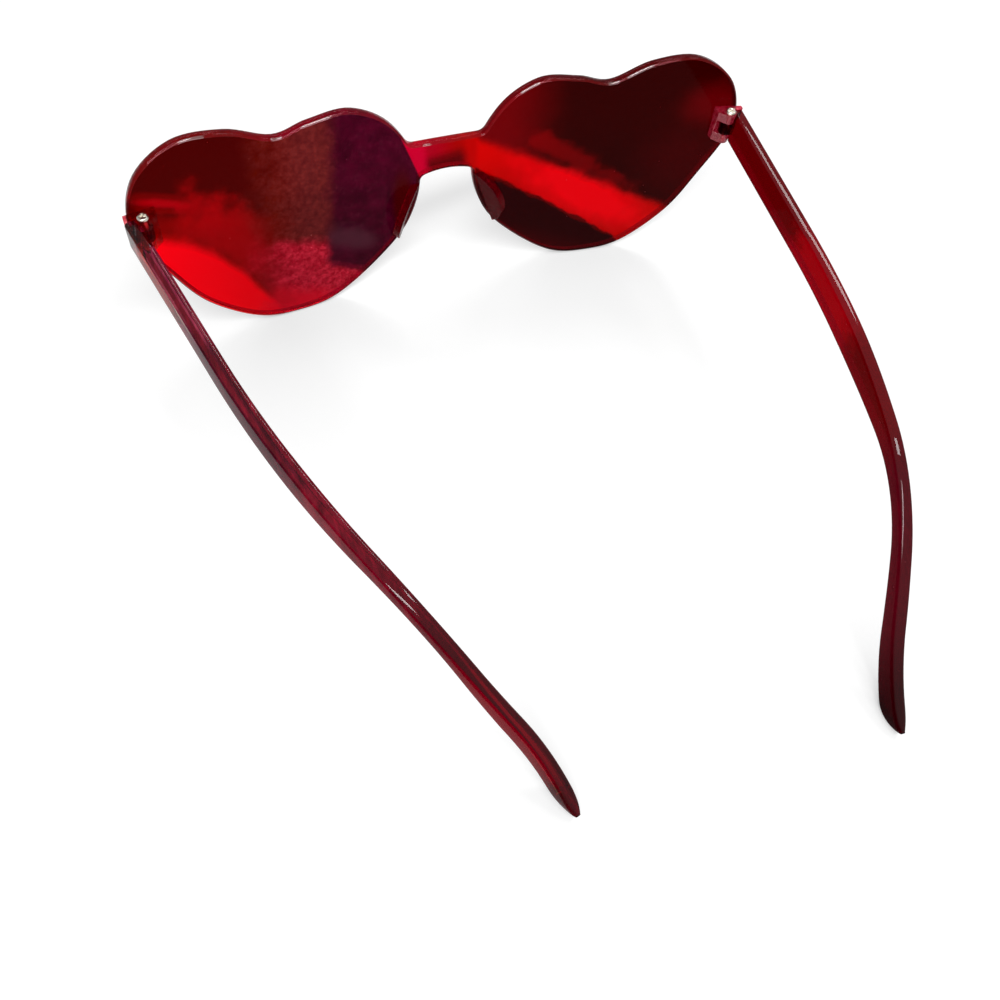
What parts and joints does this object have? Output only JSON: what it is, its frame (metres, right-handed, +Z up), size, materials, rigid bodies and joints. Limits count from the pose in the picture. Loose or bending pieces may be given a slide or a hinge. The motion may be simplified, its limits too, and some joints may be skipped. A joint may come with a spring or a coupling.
{
  "type": "heart shaped sunglasses",
  "caption": "Rimless sunglasses in clear red plastic: a curved one-piece front of heart shaped lenses and bridge, bonded nose pads, and temples on screwed hinges that fold behind it.",
  "frame": {"origin": "middle of the part's bounding box at its bottom, on the surface that the glasses lie on", "axes": "+Z up, the lenses face -Y, the temples run back along +Y, the wearer's left is +X"},
  "size_m": [0.1448, 0.1524, 0.0546],
  "materials": {
    "clear_red_sheet": "clear dark red sheet with polished faces and edges",
    "clear_red_temple": "clear dark red moulding, glossy, with fine scuffs",
    "clear_crimson_moulding": "clear crimson moulding, glossy",
    "screw_steel": "bright plated steel"
  },
  "bodies": {
    "frame": {"front": "clear_red_sheet", "end_block_left": "clear_crimson_moulding", "end_block_right": "clear_crimson_moulding", "hinge_screw_left": "screw_steel", "hinge_screw_right": "screw_steel", "nose_pad_left": "clear_crimson_moulding", "nose_pad_right": "clear_crimson_moulding"},
    "temple_left": {"temple_left": "clear_red_temple"},
    "temple_right": {"temple_right": "clear_red_temple"}
  },
  "joints": [
    {"name": "left_hinge", "type": "hinge", "parent": "frame", "child": "temple_left", "pos_m": [0.0685, -0.06427, 0.03796], "axis": [0, 0, 1], "range_deg": [-12.9, 68.6]},
    {"name": "right_hinge", "type": "hinge", "parent": "frame", "child": "temple_right", "pos_m": [-0.0685, -0.06427, 0.03796], "axis": [0, 0, -1], "range_deg": [0, 75]}
  ]
}
